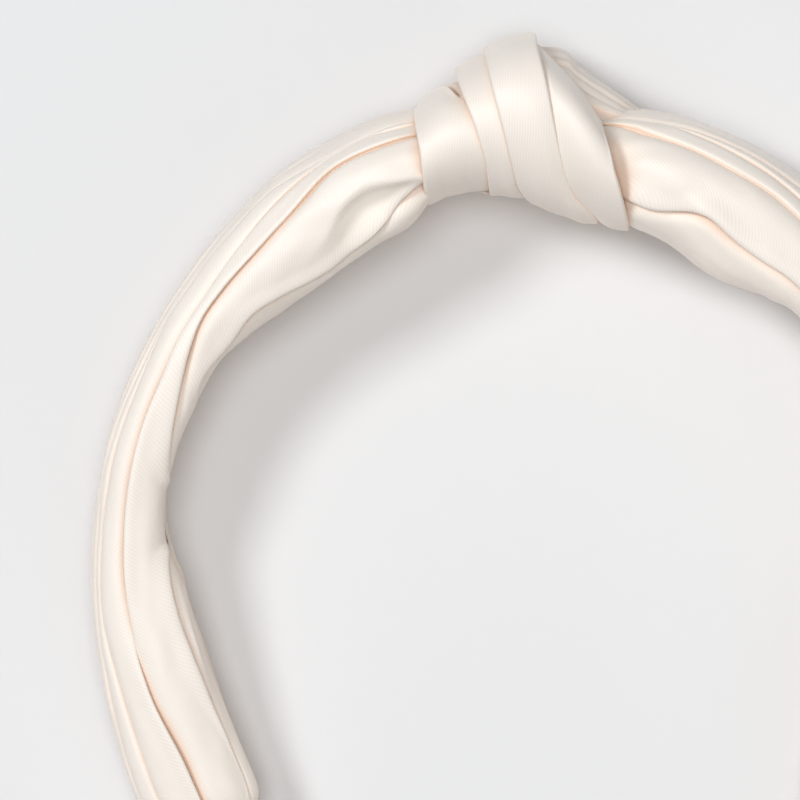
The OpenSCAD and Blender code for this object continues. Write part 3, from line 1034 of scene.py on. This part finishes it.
# ---------------------------------------------------------------- stitches
def stitch(s_at, r_from, r_to, z_at):
    """One bowed twist of thread on the head side, as rings of points."""
    u = np.linspace(0, 1, 24)[:, None]
    a = np.linspace(0, 2 * math.pi, 10, endpoint=False)[None, :]
    lay = r_from + (r_to - r_from) * u + 1.0 - 0.5 * np.sin(math.pi * u)
    twist = 0.24 + 0.03 * np.cos(2 * a - 60 * u)
    s = s_at - 1.9 + 3.8 * u + 0 * a
    return place(s, lay + twist * np.cos(a), z_at + 0.5 * (u - 0.5) + twist * np.sin(a))


def joined_tubes(name, tubes):
    """Several capped tubes as one object."""
    verts, faces = [], []
    for rows in tubes:
        n, m = rows.shape[:2]
        base = len(verts)
        verts += rows.reshape(-1, 3).tolist()
        for i in range(n - 1):
            here, there = base + i * m, base + (i + 1) * m
            for j in range(m):
                k = (j + 1) % m
                faces.append([here + j, there + j, there + k, here + k])
        faces.append([base + j for j in range(m)])
        faces.append([base + (n - 1) * m + j for j in range(m - 1, -1, -1)])
    mesh = bpy.data.meshes.new(name)
    mesh.from_pydata(verts, [], faces)
    return add_object(name, mesh)


# Where neighbouring folds meet: place along the band, and both folds' depths
SEAMS = ((-7.2, -7.2, -8.0), (1.5, -8.2, -10.0), (14.2, -11.6, -11.4))
stitches = joined_tubes("knot_stitches", [stitch(*seam, z) for seam in SEAMS for z in (-3.0, 3.0)])
finish_piece(stitches, THREAD, ("knot_tack_stitches",), body="crown")

# ---------------------------------------------------------------- stage
FLOOR_HALF = 3  # metres
PAPER = (0.785, 0.788, 0.792, 1)

corners = [(x * FLOOR_HALF, y * FLOOR_HALF, 0) for x, y in ((-1, -1), (1, -1), (1, 1), (-1, 1))]
floor_mesh = bpy.data.meshes.new("floor")
floor_mesh.from_pydata(corners, [], [(0, 1, 2, 3)])
floor = bpy.data.objects.new("floor", floor_mesh)
bpy.context.scene.collection.objects.link(floor)
paper = Nodes("floor_paper")
paper.look(Base_Color=PAPER, Roughness=0.9, Specular_IOR_Level=0.0)
floor_mesh.materials.append(paper.mat)

scene = bpy.context.scene
scene.view_settings.view_transform = "Standard"
world = bpy.data.worlds.new("studio")
scene.world = world
world.use_nodes = True
background = world.node_tree.nodes["Background"]
background.inputs["Color"].default_value = (0.97, 0.985, 1, 1)
background.inputs["Strength"].default_value = 0.14


def softbox(name, direction, size, watts, distance, tint):
    """A round soft light, size metres across, that faces the middle of the floor."""
    data = bpy.data.lights.new(name, "AREA")
    data.shape = "DISK"
    data.size = size
    data.energy = watts
    data.color = tint
    obj = bpy.data.objects.new(name, data)
    obj.location = Vector(direction).normalized() * distance
    obj.rotation_euler = Vector(direction).to_track_quat("Z", "Y").to_euler()
    scene.collection.objects.link(obj)


softbox("key", (-0.57, 0.3, 1.0), 0.6, 26, 2.45, (0.985, 1.0, 1.015))
softbox("overhead", (-0.04, 0.03, 1.0), 0.75, 17.9, 2.0, (0.99, 1, 1.01))
softbox("bounce", (0.55, -0.5, 0.8), 1.3, 3.5, 1.5, (1.0, 0.92, 0.87))

# straight down from about a metre, off to the left, so the right arm leaves the picture
CAMERA_AT = (-0.02104, 0.01249, 1.022)
LENS_MM, SENSOR_MM = 273.7, 36

camera_data = bpy.data.cameras.new("camera")
camera_data.lens = LENS_MM
camera_data.sensor_width = SENSOR_MM
camera = bpy.data.objects.new("camera", camera_data)
camera.location = CAMERA_AT
scene.collection.objects.link(camera)
scene.camera = camera
